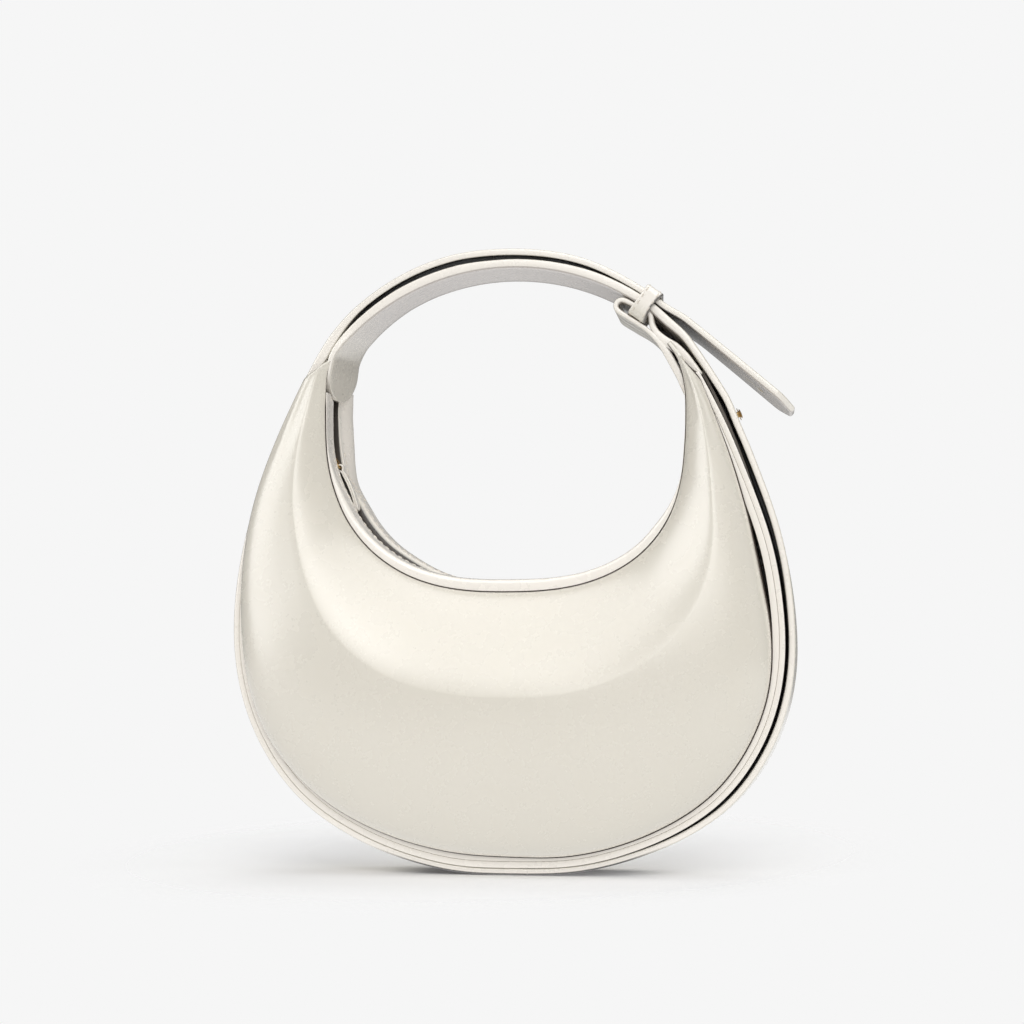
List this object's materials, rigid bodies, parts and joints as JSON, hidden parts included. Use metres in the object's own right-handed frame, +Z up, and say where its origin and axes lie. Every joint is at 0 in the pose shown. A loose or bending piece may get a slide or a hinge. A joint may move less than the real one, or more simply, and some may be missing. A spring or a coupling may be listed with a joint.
{
  "type": "round handbag",
  "caption": "Crescent top-handle handbag of smooth cream leather, a puffed half-moon pouch whose belt closes into a round carrying ring with a keeper loop and a free strap tail; zip mouth.",
  "frame": {"origin": "on the floor under the middle of the bag", "axes": "+Z up, front of the bag faces -Y, +X to the right of the front"},
  "size_m": [0.2504, 0.0862, 0.2745],
  "materials": {
    "cream_leather": "smooth satin",
    "leather_edge": "painted edge, satin",
    "lining_cloth": "matte weave",
    "brass": "polished",
    "zip_tape": "matte tape with metal teeth",
    "stiffener_board": "matte board"
  },
  "bodies": {
    "bag": {"front_panel": "cream_leather", "back_panel": "cream_leather", "gusset": "cream_leather", "front_mouth_lip": "cream_leather", "back_mouth_lip": "cream_leather", "outer_strap": "cream_leather", "inner_strap": "cream_leather", "keeper_tab": "cream_leather", "front_welt": "leather_edge", "back_welt": "leather_edge", "front_lining": "lining_cloth", "back_lining": "lining_cloth", "gusset_lining": "lining_cloth", "slip_pocket": "lining_cloth", "zip_bottom_stop": "brass", "zip_top_stop_front": "brass", "zip_top_stop_back": "brass", "belt_stud": "brass", "belt_stud_nut": "brass", "zip_tape_front": "zip_tape", "zip_tape_back": "zip_tape", "gusset_stiffener": "stiffener_board"},
    "zip_slider": {"zip_slider": "brass"},
    "zip_link": {"zip_pull_link": "brass"},
    "zip_tab": {"zip_pull_tab": "cream_leather"},
    "keeper": {"keeper_loop": "cream_leather"},
    "tail": {"strap_tail": "cream_leather"}
  },
  "joints": [
    {"name": "zip_slide", "type": "hinge", "parent": "bag", "child": "zip_slider", "pos_m": [0, 0, 0.209], "axis": [0, -1, 0], "range_deg": [0, 142]},
    {"name": "link_swing", "type": "hinge", "parent": "zip_slider", "child": "zip_link", "pos_m": [-0.08511, 0, 0.18857], "axis": [0, -1, 0], "range_deg": [0, 115]},
    {"name": "tab_swing", "type": "hinge", "parent": "zip_link", "child": "zip_tab", "pos_m": [-0.08001, 0, 0.18115], "axis": [0, -1, 0], "range_deg": [0, 60]},
    {"name": "keeper_shift", "type": "hinge", "parent": "bag", "child": "keeper", "pos_m": [0, 0, 0.1635], "axis": [0, 1, 0], "range_deg": [-2, 1]},
    {"name": "tail_bend", "type": "hinge", "parent": "bag", "child": "tail", "pos_m": [0.06926, 0, 0.24663], "axis": [0, -1, 0], "range_deg": [0, 40], "stiffness_Nm_per_rad": 0.05, "springref_deg": 2.18}
  ]
}
